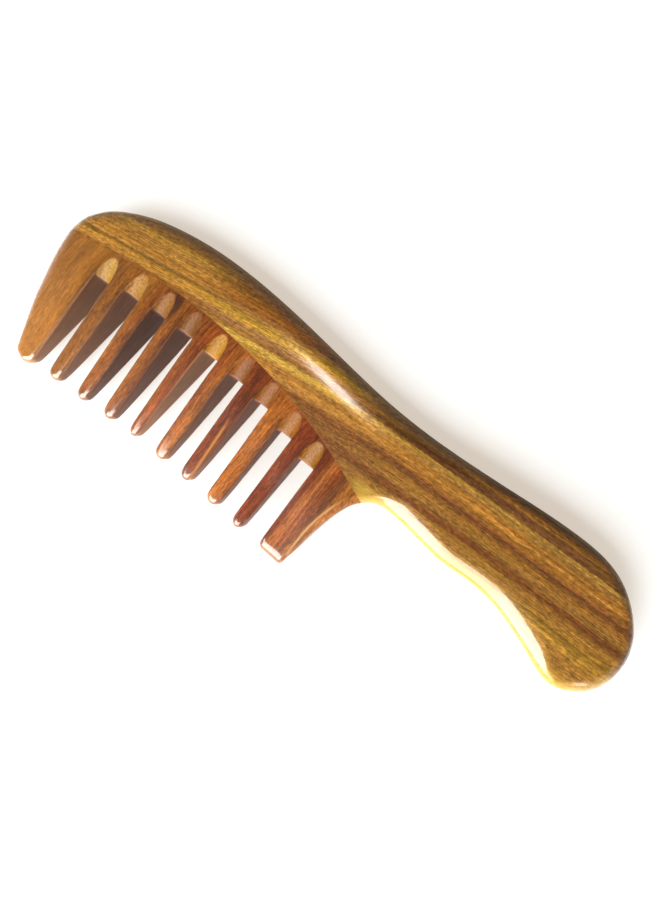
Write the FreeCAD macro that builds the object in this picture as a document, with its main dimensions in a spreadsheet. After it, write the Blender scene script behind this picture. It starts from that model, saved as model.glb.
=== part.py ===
"""Wide tooth comb with a handle, glued up from two boards of wood.

Frame: the comb lies on its flat back. +X runs along the comb from the head to the butt of the grip,
+Y from the tooth tips to the spine, +Z is up through the thickness. The origin is on the back face of
the handle: half way along the comb, on the long axis of the grip. Millimetres.

Pieces: handle (grip, butt and spine), tooth_board (ten teeth) and glue_line (the film between them).
The two boards meet on a long circular arc, with a stopped tongue on the tooth board in a stopped
groove in the handle. Each body is modelled about the comb's middle plane and placed half a
thickness up.
"""

import FreeCAD
import Part
import Sketcher
import math
import os

Vector = FreeCAD.Vector
doc = FreeCAD.newDocument("wide_tooth_comb")

# ---------------------------------------------------------------- driving dimensions
# alias, value, note
DIMENSIONS = [
    ("overall_length", 190.0, "head to butt, scales the outline only"),
    ("thickness", 11.0, "handle, face to face"),
    ("edge_round", 4.2, "rounding of the outer edges"),
    ("joint_radius", 178.0, "arc between the two boards"),
    ("joint_centre_x", -49.5, "centre of that arc"),
    ("joint_centre_y", -178.13, "centre of that arc"),
    ("glue_film", 0.1, "thickness of the glue"),
    ("tongue_depth", 6.0, "tongue on the tooth board"),
    ("tongue_thick", 3.5, "tongue on the tooth board"),
    ("tongue_left_x", -85.0, "stopped end of the tongue"),
    ("tongue_right_x", 10.0, "stopped end of the tongue"),
    ("taper_lead", -3.0, "start of the taper, outwards from the joint arc"),
    ("taper_run", 12.0, "length over which the taper starts"),
    ("taper_slope", 0.118, "nominal fall of each face per mm towards the tips"),
    ("scoop_rise", 6.9, "height of the scoop at a gap root, on the face"),
    ("scoop_depth", 1.9, "depth of the scoop below the face, where it meets the slot"),
    ("tip_dome", 1.9, "depth of the rounded tooth tip"),
]

# One row per gap, from the head to the grip: x of the left and right wall at the root, x of the
# left and right wall at TIP_LINE_Y, y of the square end of the slot.
GAP_COLUMNS = ("root_left", "root_right", "tip_left", "tip_right", "ridge")
GAPS = [
    (-78.40, -73.25, -79.25, -73.75, -10.20),
    (-68.35, -62.95, -69.30, -63.15, -8.70),
    (-58.45, -53.35, -59.10, -53.45, -8.00),
    (-49.00, -43.70, -49.15, -43.80, -7.80),
    (-39.00, -34.05, -40.45, -34.05, -8.30),
    (-29.60, -24.50, -29.75, -24.35, -9.00),
    (-19.85, -14.90, -20.40, -14.50, -10.15),
    (-9.95, -4.90, -10.05, -4.75, -12.60),
    (-0.45, 4.85, -0.95, 5.15, -15.25),
]
TIP_LINE_Y = -39.0

# y of each tooth tip, from the head to the grip
TIPS = [-43.20, -41.70, -41.15, -40.35, -39.75, -39.75, -39.80, -40.10, -40.70, -40.90]

sheet = doc.addObject("Spreadsheet::Sheet", "dims")


def set_cell(cell, alias, value):
    sheet.set(cell, str(value))
    sheet.setAlias(cell, alias)


for row, (alias, value, note) in enumerate(DIMENSIONS, start=1):
    sheet.set("A%d" % row, alias)
    set_cell("B%d" % row, alias, value)
    sheet.set("C%d" % row, note)
for row, gap in enumerate(GAPS, start=1):
    for column, word, value in zip("FGHIJ", GAP_COLUMNS, gap):
        set_cell("%s%d" % (column, row), "gap%d_%s" % (row, word), value)
for row, value in enumerate(TIPS, start=1):
    set_cell("L%d" % row, "tip%d_y" % row, value)
doc.recompute()


def dim(alias):
    return float(sheet.get(alias))


HALF_THICKNESS = dim("thickness") / 2
JOINT_RADIUS = dim("joint_radius")
JOINT_X = dim("joint_centre_x")
JOINT_Y = dim("joint_centre_y")
GLUE = dim("glue_film")

# Expressions bound to the features
HANDLE_SIDE = "dims.joint_radius + dims.glue_film / 2"
TOOTH_SIDE = "dims.joint_radius - dims.glue_film / 2"
TONGUE_THICK = "dims.tongue_thick"
GROOVE_THICK = "dims.tongue_thick + 2 * dims.glue_film"
THROUGH = "dims.thickness * 2"

RING_RADIUS = 420.0  # outer radius of a ring cut, clear of the whole comb
OVERLAP = 2.0  # run of the tongue shapes inwards past the joint arc

# x, y of the outer outline, from below the head's guard tooth, up over the spine, round the butt,
# back along the underside of the grip and down the outer side of the guard tooth next to the grip.
OUTLINE_LENGTH = 190.0  # overall length at which the points are given
OUTLINE = [
    (-84.6, -46.5), (-86.1, -42.0), (-87.9, -36.8), (-90.0, -30.4), (-91.6, -25.1),
    (-93.05, -18.6), (-94.1, -13.3), (-94.8, -8.0), (-94.98, -4.9), (-94.5, -1.6),
    (-93.5, 1.5), (-91.8, 4.0), (-89.5, 6.45), (-86.0, 8.9), (-81.5, 11.15),
    (-77.0, 12.85), (-70.8, 14.45), (-64.5, 15.55), (-58.4, 16.25), (-52.3, 16.6),
    (-46.2, 16.65), (-40.3, 16.5), (-34.4, 16.15), (-22.8, 15.1), (-11.4, 13.7),
    (0.0, 12.3), (8.0, 11.5), (16.0, 11.05), (26.7, 11.0), (37.2, 11.4),
    (47.5, 12.1), (57.5, 12.9), (67.0, 13.3), (72.3, 13.2), (77.1, 12.6),
    (81.8, 11.1), (86.2, 8.5), (90.1, 4.9), (92.7, 1.3), (94.2, -2.4),
    (95.0, -7.0), (94.8, -10.7), (93.4, -14.5), (90.7, -17.7), (87.2, -19.7),
    (83.4, -20.4), (79.7, -19.65), (75.9, -18.1), (71.4, -16.35), (66.5, -14.7),
    (61.7, -13.5), (56.7, -12.95), (51.7, -13.0), (46.5, -13.35), (41.5, -13.1),
    (36.0, -12.4), (31.2, -11.85), (27.6, -11.6), (24.6, -11.85), (22.1, -12.8),
    (20.0, -14.5), (18.45, -16.5), (17.3, -19.0), (16.15, -22.6), (15.35, -26.2),
    (14.6, -30.5), (13.95, -35.6), (13.25, -40.5), (12.5, -46.5),
]


# ---------------------------------------------------------------- sketch helpers
def new_sketch(body, name, role="XY_Plane", offset=(0, 0, 0)):
    sketch = body.newObject("Sketcher::SketchObject", name)
    plane = next(item for item in body.Origin.OriginFeatures if item.Role == role)
    sketch.AttachmentSupport = [(plane, "")]
    sketch.MapMode = "FlatFace"
    sketch.AttachmentOffset = FreeCAD.Placement(Vector(*offset), FreeCAD.Rotation())
    return sketch


class Pen:
    """Draws lines and arcs end to end in a sketch."""

    def __init__(self, sketch, start):
        self.sketch = sketch
        self.here = Vector(*start, 0)

    def line_to(self, *points):
        for point in points:
            end = Vector(*point, 0)
            self.sketch.addGeometry(Part.LineSegment(self.here, end), False)
            self.here = end

    def arc_to(self, middle, end):
        end = Vector(*end, 0)
        self.sketch.addGeometry(Part.Arc(self.here, Vector(*middle, 0), end), False)
        self.here = end


def add_bound(sketch, constraint, expression):
    index = sketch.addConstraint(constraint)
    sketch.setExpression("Constraints[%d]" % index, expression)


def joint_sketch(body, name, radius, ring=False):
    """Disc about the joint centre, its radius an expression, or a ring from there outwards."""
    sketch = new_sketch(body, name)
    centre = Vector(JOINT_X, JOINT_Y, 0)
    axis = Vector(0, 0, 1)
    sketch.addGeometry(Part.Circle(centre, axis, JOINT_RADIUS), False)
    if ring:
        sketch.addGeometry(Part.Circle(centre, axis, RING_RADIUS), False)
        sketch.addConstraint(Sketcher.Constraint("Coincident", 1, 3, 0, 3))
        sketch.addConstraint(Sketcher.Constraint("Radius", 1, RING_RADIUS))
    add_bound(sketch, Sketcher.Constraint("Radius", 0, JOINT_RADIUS), radius)
    for kind, value, alias in (
        ("DistanceX", JOINT_X, "joint_centre_x"),
        ("DistanceY", JOINT_Y, "joint_centre_y"),
    ):
        add_bound(sketch, Sketcher.Constraint(kind, -1, 1, 0, 3, value), "dims." + alias)
    return sketch


def tongue_sketch(body, name, inner=JOINT_RADIUS - OVERLAP, clearance=0.0):
    """Ring sector from the inner radius to the tongue's crest, grown by the clearance at the
    crest and at both ends."""
    outer = JOINT_RADIUS - GLUE / 2 + dim("tongue_depth") + clearance
    right = math.acos((dim("tongue_right_x") + clearance - JOINT_X) / JOINT_RADIUS)
    left = math.acos((dim("tongue_left_x") - clearance - JOINT_X) / JOINT_RADIUS)
    middle = 0.5 * (right + left)

    def polar(radius, angle):
        return (JOINT_X + radius * math.cos(angle), JOINT_Y + radius * math.sin(angle))

    sketch = new_sketch(body, name)
    pen = Pen(sketch, polar(inner, right))
    pen.arc_to(polar(inner, middle), polar(inner, left))
    pen.line_to(polar(outer, left))
    pen.arc_to(polar(outer, middle), polar(outer, right))
    pen.line_to(polar(inner, right))
    return sketch


# ---------------------------------------------------------------- feature helpers
def check_cut(body, name, before, least=0.001, most=math.inf):
    """Stop if a feature took away too little or too much volume."""
    cut = before - body.Shape.Volume
    if not least < cut < most:
        raise RuntimeError("%s cut %.2f mm3" % (name, cut))


def extrude(body, kind, name, sketch, length):
    """Pad or pocket to both sides of the middle plane, its length an expression."""
    feature = body.newObject("PartDesign::" + kind, name)
    feature.Profile = sketch
    feature.Type = "Length"
    # SideType replaces Midplane in newer versions of FreeCAD
    if "SideType" in feature.PropertiesList:
        feature.SideType = "Symmetric"
    else:
        feature.Midplane = True
    feature.setExpression("Length", length)
    doc.recompute()
    return feature


def add_pad(body, name, sketch, length):
    return extrude(body, "Pad", name, sketch, length)


def add_pocket(body, name, sketch, length):
    before = body.Shape.Volume
    extrude(body, "Pocket", name, sketch, length)
    check_cut(body, name, before)


def new_blank(name):
    """Body holding the whole comb blank: padded outline with rounded outer edges."""
    body = doc.addObject("PartDesign::Body", name)
    body.Label = name
    scale = dim("overall_length") / OUTLINE_LENGTH
    points = [(x * scale, y * scale) for x, y in OUTLINE]
    curve = Part.BSplineCurve()
    curve.interpolate([Vector(*point, 0) for point in points])
    sketch = new_sketch(body, name + "_outline")
    sketch.addGeometry(curve, False)
    Pen(sketch, points[-1]).line_to(points[0])
    sketch.addConstraint(Sketcher.Constraint("Coincident", 0, 2, 1, 1))
    sketch.addConstraint(Sketcher.Constraint("Coincident", 1, 2, 0, 1))
    pad = add_pad(body, name + "_blank", sketch, "dims.thickness")

    # The spline edges of both faces; the straight edge across the tips stays sharp
    edges = [
        "Edge%d" % number
        for number, edge in enumerate(pad.Shape.Edges, start=1)
        if edge.BoundBox.ZLength < 1e-6 and edge.Curve.TypeId == "Part::GeomBSplineCurve"
    ]
    fillet = body.newObject("PartDesign::Fillet", name + "_edges")
    fillet.Base = (pad, edges)
    fillet.setExpression("Radius", "dims.edge_round")
    doc.recompute()
    return body


def place(body):
    body.setExpression("Placement.Base.z", "dims.thickness / 2")


# ---------------------------------------------------------------- handle
def build_handle():
    body = new_blank("handle")
    add_pocket(body, "handle_joint_arc", joint_sketch(body, "handle_arc", HANDLE_SIDE), THROUGH)
    groove = tongue_sketch(body, "groove_path", clearance=GLUE)
    add_pocket(body, "handle_groove", groove, GROOVE_THICK)
    place(body)
    return body


# ---------------------------------------------------------------- taper of the tooth board
TAPER_START = JOINT_RADIUS + dim("taper_lead")  # radius about the joint centre
TAPER_RUN = dim("taper_run")
TAPER_SLOPE = dim("taper_slope")
TAPER_ANGLE = math.atan(TAPER_SLOPE)
EASE_RADIUS = TAPER_RUN / math.sin(TAPER_ANGLE)  # arc that eases the face into the slope
TAPER_REACH = 60.0  # from the start of the taper to the inner end of the cut
TAPER_LEAST_Z = 0.35  # least height of the profile's inner end above the middle plane
TAPER_CLEAR = 3.0  # run of the cut out past the faces


def cut_taper(body):
    """Both faces fall away towards the tips, turned about the joint centre. Where the nominal
    slope would end below TAPER_LEAST_Z, the straight part ends there and is less steep."""
    name = body.Name + "_taper"
    sketch = new_sketch(body, name + "_profile", "XZ_Plane", (JOINT_X, 0, -JOINT_Y))
    ease_drop = EASE_RADIUS * (1 - math.cos(TAPER_ANGLE))
    middle_x = TAPER_START - EASE_RADIUS * math.sin(TAPER_ANGLE / 2)
    middle_z = HALF_THICKNESS - EASE_RADIUS * (1 - math.cos(TAPER_ANGLE / 2))
    ease_z = HALF_THICKNESS - ease_drop
    inner_x = TAPER_START - TAPER_REACH
    inner_z = max(TAPER_LEAST_Z, ease_z - TAPER_SLOPE * (TAPER_REACH - TAPER_RUN))
    clear_z = HALF_THICKNESS + TAPER_CLEAR
    for side in (1, -1):
        start = (TAPER_START, side * HALF_THICKNESS)
        pen = Pen(sketch, start)
        pen.arc_to((middle_x, side * middle_z), (TAPER_START - TAPER_RUN, side * ease_z))
        pen.line_to(
            (inner_x, side * inner_z),
            (inner_x, side * clear_z),
            (TAPER_START, side * clear_z),
            start,
        )
    before = body.Shape.Volume
    groove = body.newObject("PartDesign::Groove", name)
    groove.Profile = sketch
    groove.ReferenceAxis = (sketch, ["V_Axis"])
    groove.Angle = 360.0
    doc.recompute()
    check_cut(body, name, before)


def face_z(x, y):
    """Height above the middle plane of the face tapered at the nominal slope."""
    inwards = TAPER_START - math.hypot(x - JOINT_X, y - JOINT_Y)
    eased = min(max(inwards, 0.0), TAPER_RUN)
    ease_drop = EASE_RADIUS - math.sqrt(EASE_RADIUS**2 - eased**2)
    return HALF_THICKNESS - ease_drop - TAPER_SLOPE * max(inwards - TAPER_RUN, 0.0)


# ---------------------------------------------------------------- gaps and tips
# Box around the cut, beyond the board at both ends and below the tips
CUT_LEFT_X = -110.0
CUT_RIGHT_X = 40.0
CUT_LOW_Y = -60.0

# Tip of the head's guard tooth: x and height above the tip where its arc starts and of a point
# on it, then the height where the arc meets the first gap.
HEAD_TIP_START = (-85.85, 4.6)
HEAD_TIP_MIDDLE = (-82.9, 0.0)
HEAD_TIP_RISE = 3.1

# Tip of the guard tooth next to the grip: the height where its first arc leaves the last gap, a
# point on that arc and its end, both measured from the gap wall and the tip.
GRIP_TIP_RISE = 1.3
GRIP_TIP_NEAR_MIDDLE = (0.38, 0.42)
GRIP_TIP_NEAR_END = (1.3, 0.05)
# x and height above the tip of the start, a point and the end of its second arc
GRIP_TIP_FAR_START = (11.4, -0.1)
GRIP_TIP_FAR_MIDDLE = (12.55, 0.3)
GRIP_TIP_FAR_END = (12.95, 1.3)


def wall_x(gap, side, y):
    """x of a gap wall at height y, on a straight line from the ridge to the tips."""
    root = dim("gap%d_root_%s" % (gap, side))
    tip = dim("gap%d_tip_%s" % (gap, side))
    ridge = dim("gap%d_ridge" % gap)
    return root + (tip - root) * (y - ridge) / (TIP_LINE_Y - ridge)


def wall_point(gap, side, y):
    return (wall_x(gap, side, y), y)


def shifted(point, x=0.0, y=0.0):
    return (point[0] + x, point[1] + y)


def cut_gaps(body):
    """One cut: up one wall, across the ridge, down the next wall and round each tip."""
    sketch = new_sketch(body, "gaps_and_tips")
    corner = (CUT_LEFT_X, CUT_LOW_Y)
    head_tip = dim("tip1_y")
    arc_start = shifted(HEAD_TIP_START, y=head_tip)
    pen = Pen(sketch, corner)
    pen.line_to((CUT_LEFT_X, arc_start[1]), arc_start)
    pen.arc_to(shifted(HEAD_TIP_MIDDLE, y=head_tip), wall_point(1, "left", head_tip + HEAD_TIP_RISE))
    for gap in range(1, len(GAPS) + 1):
        ridge = dim("gap%d_ridge" % gap)
        pen.line_to(wall_point(gap, "left", ridge), wall_point(gap, "right", ridge))
        tip = dim("tip%d_y" % (gap + 1))
        if gap < len(GAPS):
            dome_y = tip + dim("tip_dome")
            left = wall_point(gap, "right", dome_y)
            right = wall_point(gap + 1, "left", dome_y)
            pen.line_to(left)
            pen.arc_to((0.5 * (left[0] + right[0]), tip), right)

    # Guard tooth next to the grip
    wall = wall_point(len(GAPS), "right", tip + GRIP_TIP_RISE)
    pen.line_to(wall)
    pen.arc_to(
        shifted(GRIP_TIP_NEAR_MIDDLE, wall[0], tip), shifted(GRIP_TIP_NEAR_END, wall[0], tip)
    )
    pen.line_to(shifted(GRIP_TIP_FAR_START, y=tip))
    arc_end = shifted(GRIP_TIP_FAR_END, y=tip)
    pen.arc_to(shifted(GRIP_TIP_FAR_MIDDLE, y=tip), arc_end)
    pen.line_to((CUT_RIGHT_X, arc_end[1]), (CUT_RIGHT_X, CUT_LOW_Y), corner)
    add_pocket(body, "gaps", sketch, THROUGH)


# ---------------------------------------------------------------- scooped gap roots
SCOOP_SIDE = 0.08  # half width of a scoop beyond that of its slot
SCOOP_BELOW = 0.4  # run of the loft past the ridge, into the slot
SCOOP_ABOVE = 0.6  # run of the loft past the top of the scoop
SCOOP_OPEN = 4.0  # height of the loft sections above the ellipse centre


def scoop_section(body, name, x, y, z, half_width, sign):
    """Half ellipse closed by a box: low half on the face (sign 1), mirrored on the back (-1)."""
    sketch = new_sketch(body, name, "XZ_Plane", (0, 0, -y))
    ellipse = Part.Ellipse(Vector(x, sign * z, 0), half_width, dim("scoop_depth"))
    start = math.pi if sign > 0 else 0.0
    sketch.addGeometry(Part.ArcOfEllipse(ellipse, start, start + math.pi), False)
    left, right = x - half_width, x + half_width
    open_z = sign * (z + SCOOP_OPEN)
    pen = Pen(sketch, (right, sign * z))
    pen.line_to((right, open_z), (left, open_z), (left, sign * z))
    return sketch


def cut_scoops(body, gap):
    """On each face a round-nosed channel runs down to the square end of the slot, where it is
    deepest. The same half ellipse slides up out of the face, so it shows as an arch."""
    rise = dim("scoop_rise")
    ridge = dim("gap%d_ridge" % gap)
    left, right = wall_x(gap, "left", ridge), wall_x(gap, "right", ridge)
    half_width = 0.5 * (right - left) + SCOOP_SIDE
    x = 0.5 * (left + right)
    ridge_z = face_z(x, ridge)
    climb = (face_z(x, ridge + rise) + dim("scoop_depth") - ridge_z) / rise
    for face, sign in (("face", 1.0), ("back", -1.0)):
        name = "scoop%d_%s" % (gap, face)
        low, high = [
            scoop_section(
                body, name + "_" + end, x, y, ridge_z + climb * (y - ridge), half_width, sign
            )
            for end, y in (("low", ridge - SCOOP_BELOW), ("high", ridge + rise + SCOOP_ABOVE))
        ]
        before = body.Shape.Volume
        loft = body.newObject("PartDesign::SubtractiveLoft", name)
        loft.Profile = low
        loft.Sections = [high]
        loft.Ruled = True
        doc.recompute()
        check_cut(body, name, before, least=5.0, most=60.0)


# ---------------------------------------------------------------- tooth board
def build_tooth_board():
    body = new_blank("tooth_board")
    arc = joint_sketch(body, "board_arc", TOOTH_SIDE, ring=True)
    add_pocket(body, "board_joint_arc", arc, THROUGH)
    cut_taper(body)
    add_pad(body, "tongue", tongue_sketch(body, "tongue_path"), TONGUE_THICK)
    cut_gaps(body)
    for gap in range(1, len(GAPS) + 1):
        cut_scoops(body, gap)
    place(body)
    return body


# ---------------------------------------------------------------- glue line
def build_glue_line():
    """Film along the joint arc and round the tongue."""
    body = new_blank("glue_line")
    add_pocket(body, "glue_inner", joint_sketch(body, "glue_inner_arc", TOOTH_SIDE), THROUGH)
    outer = joint_sketch(body, "glue_outer_arc", HANDLE_SIDE, ring=True)
    add_pocket(body, "glue_outer", outer, THROUGH)
    channel = tongue_sketch(body, "glue_channel_path", JOINT_RADIUS - GLUE / 2, GLUE)
    add_pad(body, "glue_channel", channel, GROOVE_THICK)
    add_pocket(body, "glue_hollow", tongue_sketch(body, "glue_hollow_path"), TONGUE_THICK)
    place(body)
    return body


bodies = [build_handle(), build_tooth_board(), build_glue_line()]
doc.recompute()

# ---------------------------------------------------------------- checks and files
for item in doc.Objects:
    if "Invalid" in item.State or "Error" in item.State:
        raise RuntimeError("%s failed: %s" % (item.Name, item.State))
for body in bodies:
    if body.Shape.isNull() or not body.Shape.isValid():
        raise RuntimeError(body.Label + " has no valid shape")
    if len(body.Shape.Solids) != 1:
        raise RuntimeError("%s has %d solids" % (body.Label, len(body.Shape.Solids)))
os.makedirs("parts", exist_ok=True)
for body in bodies:
    body.Shape.exportStep(os.path.join("parts", body.Label + ".step"))
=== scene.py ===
"""Looks of a wide tooth comb made of two boards joined along an arc.

All sizes are in mm in the row frame. x runs along the comb, from the head at -x to the butt of the
grip at +x. y runs across it, from the tooth tips at -y to the spine at +y. z is the thickness, with
the back face at z 0. The shape rules measure z from the middle plane instead.
Each board is meshed from a signed field, below zero inside, with soft hand-sanded roundings.
"""

import math
from collections import namedtuple

import bmesh
import bpy
import numpy as np
from mathutils import Matrix, Vector


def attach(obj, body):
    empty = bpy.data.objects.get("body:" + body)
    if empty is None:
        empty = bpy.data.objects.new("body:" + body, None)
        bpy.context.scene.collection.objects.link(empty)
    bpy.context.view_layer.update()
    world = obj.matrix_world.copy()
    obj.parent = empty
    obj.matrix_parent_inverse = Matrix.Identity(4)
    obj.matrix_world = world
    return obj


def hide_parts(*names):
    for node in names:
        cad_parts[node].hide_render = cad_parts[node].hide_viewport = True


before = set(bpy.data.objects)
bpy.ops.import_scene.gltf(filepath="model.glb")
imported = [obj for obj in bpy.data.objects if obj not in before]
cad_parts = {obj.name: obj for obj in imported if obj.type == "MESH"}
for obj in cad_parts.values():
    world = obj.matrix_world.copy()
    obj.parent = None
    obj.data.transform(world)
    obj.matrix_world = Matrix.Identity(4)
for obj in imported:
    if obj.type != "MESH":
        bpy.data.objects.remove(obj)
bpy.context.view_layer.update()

# ================================================================ sizes
MM = 0.001
THICKNESS = 11.0
MID = THICKNESS / 2
JOINT_RADIUS = 178.0  # the joint arc and its centre
JOINT_X, JOINT_Y = -49.5, -178.13
GLUE = 0.1
TONGUE_DEPTH, TONGUE_THICK, TONGUE_X0, TONGUE_X1 = 6.0, 3.5, -85.0, 10.0
# the faces start to fall at the lead from the joint arc, bend over the run, then keep the slope
TAPER_LEAD, TAPER_RUN, TAPER_SLOPE = -3.0, 12.0, 0.118
SCOOP_RISE, SCOOP_DEPTH = 6.9, 1.9
WALL_END = -39.0  # y at which the gap walls have their tip positions
ROOT_ROUND = 0.45  # corner radius at the root of a gap
JOINT_SPARE = 2.0  # how far each board is meshed past the joint arc before it is cut
FILM_INSET, FILM_SPARE = 0.012, 1.2

# closed outline of the comb: x, y
OUTLINE = [
    (-84.6, -46.5), (-86.1, -42.0), (-87.9, -36.8), (-90.0, -30.4), (-91.6, -25.1),
    (-93.05, -18.6), (-94.1, -13.3), (-94.8, -8.0), (-94.98, -4.9), (-94.5, -1.6),
    (-93.5, 1.5), (-91.8, 4.0), (-89.5, 6.45), (-86.0, 8.9), (-81.5, 11.15), (-77.0, 12.85),
    (-70.8, 14.45), (-64.5, 15.55), (-58.4, 16.25), (-52.3, 16.6), (-46.2, 16.65),
    (-40.3, 16.5), (-34.4, 16.15), (-22.8, 15.1), (-11.4, 13.7), (0.0, 12.3), (8.0, 11.5),
    (16.0, 11.05), (26.7, 11.0), (37.2, 11.4), (47.5, 12.1), (57.5, 12.9), (67.0, 13.3),
    (72.3, 13.2), (77.1, 12.6), (81.8, 11.1), (86.2, 8.5), (90.1, 4.9), (92.7, 1.3),
    (94.2, -2.4), (95.0, -7.0), (94.8, -10.7), (93.4, -14.5), (90.7, -17.7), (87.2, -19.7),
    (83.4, -20.4), (79.7, -19.65), (75.9, -18.1), (71.4, -16.35), (66.5, -14.7), (61.7, -13.5),
    (56.7, -12.95), (51.7, -13.0), (46.5, -13.35), (41.5, -13.1), (36.0, -12.4), (31.2, -11.85),
    (27.6, -11.6), (24.6, -11.85), (22.1, -12.8), (20.0, -14.5), (18.45, -16.5), (17.3, -19.0),
    (16.15, -22.6), (15.35, -26.2), (14.6, -30.5), (13.95, -35.6), (13.25, -40.5), (12.5, -46.5),
]

# x of the left (-x) and right wall at the root, the same at the tips, y of the root ridge
Gap = namedtuple("Gap", "root_left root_right tip_left tip_right ridge")
GAPS = [
    Gap(-78.40, -73.25, -79.25, -73.75, -10.20),
    Gap(-68.35, -62.95, -69.30, -63.15, -8.70),
    Gap(-58.45, -53.35, -59.10, -53.45, -8.00),
    Gap(-49.00, -43.70, -49.15, -43.80, -7.80),
    Gap(-39.00, -34.05, -40.45, -34.05, -8.30),
    Gap(-29.60, -24.50, -29.75, -24.35, -9.00),
    Gap(-19.85, -14.90, -20.40, -14.50, -10.15),
    Gap(-9.95, -4.90, -10.05, -4.75, -12.60),
    Gap(-0.45, 4.85, -0.95, 5.15, -15.25),
]
GAP_MIDDLES = np.array([0.5 * (gap.root_left + gap.root_right) for gap in GAPS])

# y of the tip, radii of its two corners in plan, and how much the edge rounding grows
# down the sides and again round the tip
Tooth = namedtuple("Tooth", "tip corner_left corner_right side_edge tip_edge",
                   defaults=(2.2, 2.2, 0.85, 0.6))
TEETH = [
    Tooth(-43.20, 3.6, 3.4), Tooth(-41.70), Tooth(-41.15), Tooth(-40.35), Tooth(-39.75),
    Tooth(-39.75), Tooth(-39.80), Tooth(-40.10), Tooth(-40.70),
    Tooth(-40.90, 1.5, 1.2, 0.35, 1.25),
]
LAST_TOOTH = TEETH[-1]

# width of the rounding along the underside of the grip: x, width
GRIP_REACH = (
    (14, 1.7), (19.5, 2.0), (22.5, 3.0), (25.5, 4.6), (29, 6.7), (36, 6.3), (46, 5.2), (54, 5.8),
    (62, 6.8), (70, 7.2), (76, 5.8), (80.5, 2.4), (83.5, 1.8), (86, 3.6), (89, 5.2), (96, 5.2),
)


# ================================================================ shape rules
def fade(start, end, value):
    """Smooth 0 to 1 as value goes from start to end; start may be the larger."""
    t = np.clip((value - start) / (end - start), 0.0, 1.0)
    return t * t * (3 - 2 * t)


def joint_distance(x, y):
    """Distance in plan from the centre of the joint arc."""
    return np.hypot(x - JOINT_X, y - JOINT_Y)


def cubic_through(points, step):
    """Natural cubic spline through the points, sampled about every step mm."""
    p = np.array(points, float)
    knots = np.concatenate([[0], np.cumsum(np.linalg.norm(np.diff(p, axis=0), axis=1))])
    n, h = len(p), np.diff(knots)
    matrix, right_side = np.zeros((n, n)), np.zeros((n, 2))
    matrix[0, 0] = matrix[-1, -1] = 1
    for i in range(1, n - 1):
        matrix[i, i - 1 : i + 2] = h[i - 1], 2 * (h[i - 1] + h[i]), h[i]
        right_side[i] = 6 * ((p[i + 1] - p[i]) / h[i] - (p[i] - p[i - 1]) / h[i - 1])
    bend = np.linalg.solve(matrix, right_side)
    s = np.linspace(0, knots[-1], int(knots[-1] / step) + 1)
    k = np.clip(np.searchsorted(knots, s, side="right") - 1, 0, n - 2)
    u, v = (knots[k + 1] - s)[:, None], (s - knots[k])[:, None]
    hk = h[k][:, None]
    return (
        bend[k] * u**3 / (6 * hk)
        + bend[k + 1] * v**3 / (6 * hk)
        + (p[k] / hk - bend[k] * hk / 6) * u
        + (p[k + 1] / hk - bend[k + 1] * hk / 6) * v
    )


def cubic_weights(t):
    """Weights of the four grid values round a place that lies t past the second of them."""
    return (
        -0.5 * t + t * t - 0.5 * t**3,
        1 - 2.5 * t * t + 1.5 * t**3,
        0.5 * t + 2 * t * t - 1.5 * t**3,
        -0.5 * t * t + 0.5 * t**3,
    )


class PlanField:
    """A smooth field over x and y, held on a grid and read back by cubic convolution."""

    def __init__(self, x0, y0, spacing, values):
        self.x0, self.y0, self.spacing, self.values = x0, y0, spacing, values

    def __call__(self, x, y):
        fx = (np.asarray(x, float) - self.x0) / self.spacing
        fy = (np.asarray(y, float) - self.y0) / self.spacing
        fx, fy = np.broadcast_arrays(fx, fy)
        nx, ny = self.values.shape
        fx = np.clip(fx, 1, nx - 3.001)
        fy = np.clip(fy, 1, ny - 3.001)
        ix, iy = fx.astype(int), fy.astype(int)
        weights_x, weights_y = cubic_weights(fx - ix), cubic_weights(fy - iy)
        total = 0
        for i in range(4):
            row = 0
            for j in range(4):
                row = row + weights_y[j] * self.values[ix + i - 1, iy + j - 1]
            total = total + weights_x[i] * row
        return total


def polygon_distance(polygon, x, y, batch=4000):
    """Signed distance from points to a closed polygon, negative inside."""
    a, b = polygon, np.roll(polygon, -1, axis=0)
    ab = b - a
    length2 = (ab**2).sum(1)
    flat_x, flat_y = x.ravel(), y.ravel()
    result = np.empty(flat_x.shape)
    for s in range(0, len(flat_x), batch):
        px, py = flat_x[s : s + batch, None], flat_y[s : s + batch, None]
        t = np.clip(((px - a[:, 0]) * ab[:, 0] + (py - a[:, 1]) * ab[:, 1]) / length2, 0, 1)
        off_x, off_y = px - a[:, 0] - t * ab[:, 0], py - a[:, 1] - t * ab[:, 1]
        distance = np.sqrt((off_x**2 + off_y**2).min(1))
        crosses = (a[:, 1] <= py) != (b[:, 1] <= py)
        with np.errstate(divide="ignore", invalid="ignore"):
            crossing_x = a[:, 0] + (py - a[:, 1]) * ab[:, 0] / ab[:, 1]
        inside = ((px < crossing_x) & crosses).sum(1) % 2 == 1
        result[s : s + batch] = np.where(inside, -distance, distance)
    return result.reshape(x.shape)


def make_outline_field(spacing=0.5):
    grid_x, grid_y = np.arange(-99, 99.01, spacing), np.arange(-52, 21.01, spacing)
    plan_x, plan_y = np.meshgrid(grid_x, grid_y, indexing="ij")
    values = polygon_distance(cubic_through(OUTLINE, step=0.6), plan_x, plan_y)
    return PlanField(grid_x[0], grid_y[0], spacing, values)


outline_distance = make_outline_field()


def round_max(a, b, radius):
    """Intersection of two half spaces with a rounded edge."""
    u, v = a + radius, b + radius
    return (
        np.minimum(np.maximum(u, v), 0) + np.hypot(np.maximum(u, 0), np.maximum(v, 0)) - radius
    )


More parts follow.
